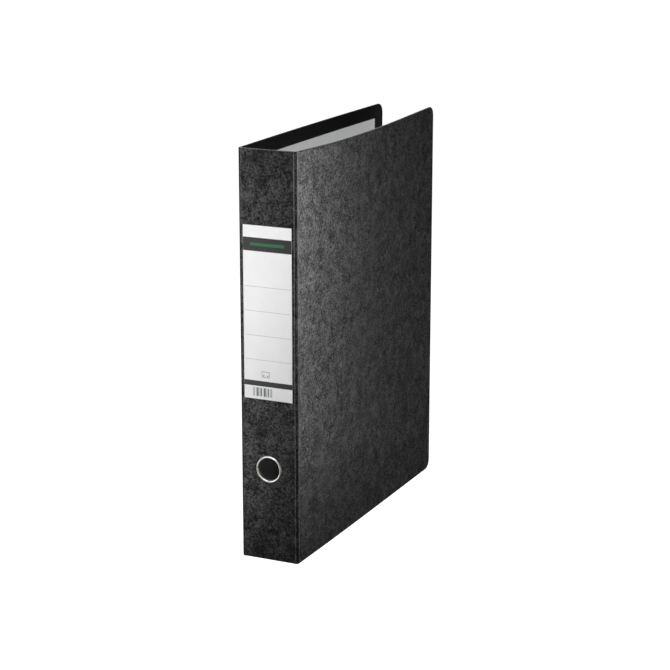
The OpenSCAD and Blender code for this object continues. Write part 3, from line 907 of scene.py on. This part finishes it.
def finished_metal(node, bevel):
    """A CAD piece that keeps its shape, with its edges broken, if by anything, and its curves smooth."""
    obj = frame["nodes"][node]
    obj.data.materials.clear()
    obj.data.materials.append(NICKEL)
    weld = obj.modifiers.new("join", "WELD")
    weld.merge_threshold = 0.002 * MM
    if bevel:
        edges = obj.modifiers.new("edges", "BEVEL")
        edges.width = bevel
        edges.segments = 2
        edges.limit_method = "ANGLE"
        edges.angle_limit = math.radians(SHARP_DEG)
    obj.data.shade_smooth()


# Floor, light and camera


def floor():
    """A plain white studio floor, lit from within so that it stays white and lights nothing."""
    bpy.ops.mesh.primitive_plane_add(size=60)
    plane = bpy.context.object
    plane.name = "studio_floor"
    finish = Finish("studio_floor", Specular_IOR_Level=0.2, Roughness=0.9, Emission_Strength=1.01)
    cloud = finish.noise(2.5, 2, 0.5)
    finish.set("Base Color", finish.ramp(cloud, [(0.3, 0.84), (0.7, 0.86)]))
    finish.set("Emission Color", finish.ramp(cloud, [(0.3, 0.99), (0.7, 1.0)]))
    plane.data.materials.append(finish.material)
    plane.visible_diffuse = False
    plane.visible_glossy = False
    return plane


def backdrop():
    """A white dome far behind everything, which only the camera sees."""
    bpy.ops.mesh.primitive_uv_sphere_add(radius=18, segments=48, ring_count=24)
    dome = bpy.context.object
    dome.name = "studio_backdrop"
    finish = Finish("studio_backdrop", Specular_IOR_Level=0.0, Roughness=1.0, Emission_Strength=1.03)
    cloud = finish.noise(0.2, 2, 0.5)
    finish.set("Base Color", (0, 0, 0, 1))
    finish.set("Emission Color", finish.ramp(cloud, [(0.3, 0.98), (0.7, 1.0)]))
    dome.data.materials.append(finish.material)
    dome.visible_diffuse = False
    dome.visible_glossy = False
    dome.visible_transmission = False
    dome.visible_shadow = False


def surroundings(strength):
    """A faint even white light from all round."""
    world = bpy.data.worlds.new("studio")
    bpy.context.scene.world = world
    world.use_nodes = True
    sky = world.node_tree.nodes["Background"]
    sky.inputs["Color"].default_value = (1, 1, 1, 1)
    sky.inputs["Strength"].default_value = strength


def softbox(name, place, aim, width, height, power, receivers):
    """A rectangular soft light at a place, facing a point, that falls on one group or, with None, on all."""
    lamp = bpy.data.lights.new(name, "AREA")
    lamp.shape = "RECTANGLE"
    lamp.size, lamp.size_y = width, height
    lamp.energy = power
    obj = bpy.data.objects.new(name, lamp)
    bpy.context.scene.collection.objects.link(obj)
    obj.location = place
    obj.rotation_euler = (Vector(aim) - Vector(place)).to_track_quat("-Z", "Y").to_euler()
    obj.visible_camera = False
    obj.light_linking.receiver_collection = receivers


def all_but(obj):
    """A group of receivers that leaves out one object: its lights fall on everything else."""
    group = bpy.data.collections.new("all_but_" + obj.name)
    group.objects.link(obj)
    group.collection_objects[0].light_linking.link_state = "EXCLUDE"
    return group


def camera(aim, azimuth, elevation, distance, lens):
    """A camera on a long lens, that far from its aim."""
    turn, tilt = math.radians(azimuth), math.radians(elevation)
    back = Vector((math.sin(turn) * math.cos(tilt), -math.cos(turn) * math.cos(tilt), math.sin(tilt)))
    eye = bpy.data.objects.new("camera", bpy.data.cameras.new("camera"))
    bpy.context.scene.collection.objects.link(eye)
    eye.data.lens = lens
    eye.data.sensor_width = 36
    eye.data.clip_end = 60
    eye.location = Vector(aim) + back * distance
    eye.rotation_euler = (-back).to_track_quat("-Z", "Y").to_euler()
    bpy.context.scene.camera = eye


# Build the file

spine = Spine()
front = Cover(FRONT, "front")
back = Cover(BACK, "back")
for cover in (front, back):
    for make in (cover_covering, cover_board, cover_lining):
        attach(make(cover), cover.body)
    hinge_strip(cover.side, spine, cover)
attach(spine_covering(spine), "spine")
under_lining = spine.thick - LINING_OVER
core = (CORE_INSET, CORE_INSET, under_lining - CORE_INSET)
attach(spine_sheet(spine, "spine_core", "spine_board", *core, GREYBOARD, "greyboard"), "spine")
inside = (spine.turn_in_z, under_lining, spine.thick)
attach(spine_sheet(spine, "spine_inside_paper", "spine_lining", *inside, LINING, "lining_paper"), "spine")
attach(label_sheet(), "spine")
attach(label_print(), "spine")
arch_spring()
for node, edge in {
    "grip_ring": None,
    "grip_ring_washer": 0.12 * MM,
    "base_plate": 0.15 * MM,
    "plate_rivets": 0.2 * MM,
    "upper_post": None,
    "lower_post": None,
    "arch_wire": None,
    "lever": 0.2 * MM,
    "lever_pivot_studs": 0.15 * MM,
    "lever_roller": 0.3 * MM,
    "roller_axle": 0.15 * MM,
    "compressor_bar": 0.15 * MM,
    "compressor_spring": 0.15 * MM,
}.items():
    finished_metal(node, edge)

off_floor = all_but(floor())
backdrop()
surroundings(0.02)

# Each light: its name, its place and aim from the middle of the file, width, height, watts and receivers
middle = (Vector(CAD_BOX[0]) + Vector(CAD_BOX[1])) / 2
spine_edge = (0.03, -0.18, 0.1)
for name, place, aim, width, height, power, receivers in (
    ("key", (0.2, -0.7, 0.5), spine_edge, 0.3, 0.3, 1.5, None),
    ("far key", (0.12, -1.2, 0.8), spine_edge, 0.4, 0.4, 2.2, None),
    ("high", (0.3, -0.9, 1.2), spine_edge, 0.5, 0.5, 2.8, None),
    ("top", (0.8, 0.2, 1.0), (0, 0, 0), 0.4, 0.4, 6, None),
    ("back", (0.7, 0.3, -0.12), (0, -0.13, 0), 0.4, 0.6, 4.3, off_floor),
    ("mirrored", (0.5, 0.52, -0.1), (0, -0.1, 0), 0.3, 0.6, 0.4, off_floor),
    ("right", (0.9, -0.45, -0.1), (0, -0.18, 0), 0.3, 0.6, 1, off_floor),
    ("left", (-0.24, -0.45, -0.07), (0, -0.18, -0.07), 0.05, 0.5, 0.9, off_floor),
    ("fill", (-0.25, -0.95, 1.1), (0, -0.18, -0.1), 0.5, 0.5, 6, off_floor),
    ("rear", (-0.6, 1.1, 0.9), (0, 0, 0), 0.6, 0.6, 7, off_floor),
):
    softbox(name, middle + Vector(place), middle + Vector(aim), width, height, power, receivers)

camera(
    aim=middle + Vector((-7.8, 0.4, -16.8)) * MM,
    azimuth=25.16,
    elevation=14.67,
    distance=2.2627,
    lens=106.3,
)
bpy.context.scene.view_settings.view_transform = "Standard"
